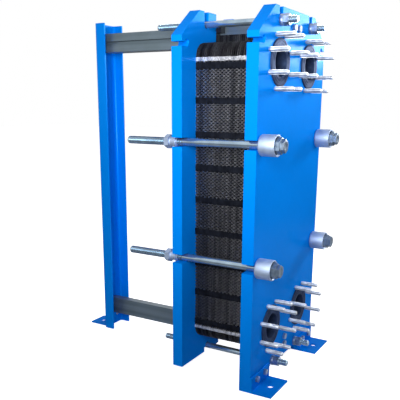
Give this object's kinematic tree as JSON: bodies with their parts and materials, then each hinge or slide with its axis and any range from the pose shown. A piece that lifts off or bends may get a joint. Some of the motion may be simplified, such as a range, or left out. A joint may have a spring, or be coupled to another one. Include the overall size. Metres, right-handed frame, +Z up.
{
  "type": "plate heat exchanger",
  "caption": "Gasketed plate heat exchanger: a plate pack clamped by tie bolts between two end plates, hung on a bar to a rear column.",
  "frame": {"origin": "middle of the footprint, on the floor", "axes": "+Z up, +Y from the port side to the rear column, +X across to the right as seen from the port side"},
  "size_m": [0.47, 0.809, 1.03],
  "materials": {
    "blue_paint": "glossy paint",
    "zinc_steel": "zinc plated",
    "bar_steel": "drawn bar, bare",
    "stainless_sheet": "pressed sheet",
    "black_rubber": "moulded",
    "black_plastic": "moulded"
  },
  "bodies": {
    "frame": {"frame_plate": "blue_paint", "left_foot": "blue_paint", "right_foot": "blue_paint", "foot_screws": "zinc_steel", "frame_bar_screws": "zinc_steel", "support_column": "blue_paint", "column_foot": "blue_paint", "column_foot_screws": "zinc_steel", "column_bar_screws": "zinc_steel", "carrying_bar": "bar_steel", "hanging_rail": "bar_steel", "guide_bar": "bar_steel", "port_liners": "black_rubber", "port_studs": "zinc_steel", "bearing_cups": "zinc_steel", "thrust_bearings": "zinc_steel", "top_tie_rods": "zinc_steel", "bottom_tie_rods": "zinc_steel", "top_front_washers": "zinc_steel", "top_front_nuts": "zinc_steel", "bottom_front_washers": "zinc_steel", "bottom_front_nuts": "zinc_steel", "front_heat_plates": "stainless_sheet", "front_gaskets": "black_rubber"},
    "pressure_plate": {"pressure_plate": "blue_paint", "hanger_shoes": "black_plastic", "shoe_clamps": "zinc_steel", "shoe_clamp_screws": "zinc_steel", "side_collar_nuts": "zinc_steel", "top_rear_washers": "zinc_steel", "top_rear_nuts": "zinc_steel", "bottom_rear_washers": "zinc_steel", "bottom_rear_nuts": "zinc_steel"},
    "middle_packet": {"middle_heat_plates": "stainless_sheet", "middle_gaskets": "black_rubber"},
    "rear_packet": {"rear_heat_plates": "stainless_sheet", "rear_gaskets": "black_rubber"},
    "upper_left_bolt": {"upper_left_tie_bolt": "zinc_steel"},
    "upper_right_bolt": {"upper_right_tie_bolt": "zinc_steel"},
    "lower_left_bolt": {"lower_left_tie_bolt": "zinc_steel"},
    "lower_right_bolt": {"lower_right_tie_bolt": "zinc_steel"}
  },
  "joints": [
    {"name": "pressure_plate_slide", "type": "slide", "parent": "frame", "child": "pressure_plate", "axis": [0, 1, 0], "range_m": [0, 0.08]},
    {"name": "middle_packet_slide", "type": "slide", "parent": "frame", "child": "middle_packet", "axis": [0, 1, 0], "range_m": [0, 0.027]},
    {"name": "rear_packet_slide", "type": "slide", "parent": "frame", "child": "rear_packet", "axis": [0, 1, 0], "range_m": [0, 0.054]},
    {"name": "upper_left_bolt_turn", "type": "hinge", "parent": "frame", "child": "upper_left_bolt", "pos_m": [-0.207, -0.3935, 0.681], "axis": [0, 1, 0], "continuous": true},
    {"name": "upper_right_bolt_turn", "type": "hinge", "parent": "frame", "child": "upper_right_bolt", "pos_m": [0.207, -0.3935, 0.681], "axis": [0, 1, 0], "continuous": true},
    {"name": "lower_left_bolt_turn", "type": "hinge", "parent": "frame", "child": "lower_left_bolt", "pos_m": [-0.207, -0.3935, 0.355], "axis": [0, 1, 0], "continuous": true},
    {"name": "lower_right_bolt_turn", "type": "hinge", "parent": "frame", "child": "lower_right_bolt", "pos_m": [0.207, -0.3935, 0.355], "axis": [0, 1, 0], "continuous": true}
  ],
  "couplings": [
    {"joint": "middle_packet_slide", "follows": "pressure_plate_slide", "ratio": 0.3333},
    {"joint": "rear_packet_slide", "follows": "pressure_plate_slide", "ratio": 0.6667}
  ]
}
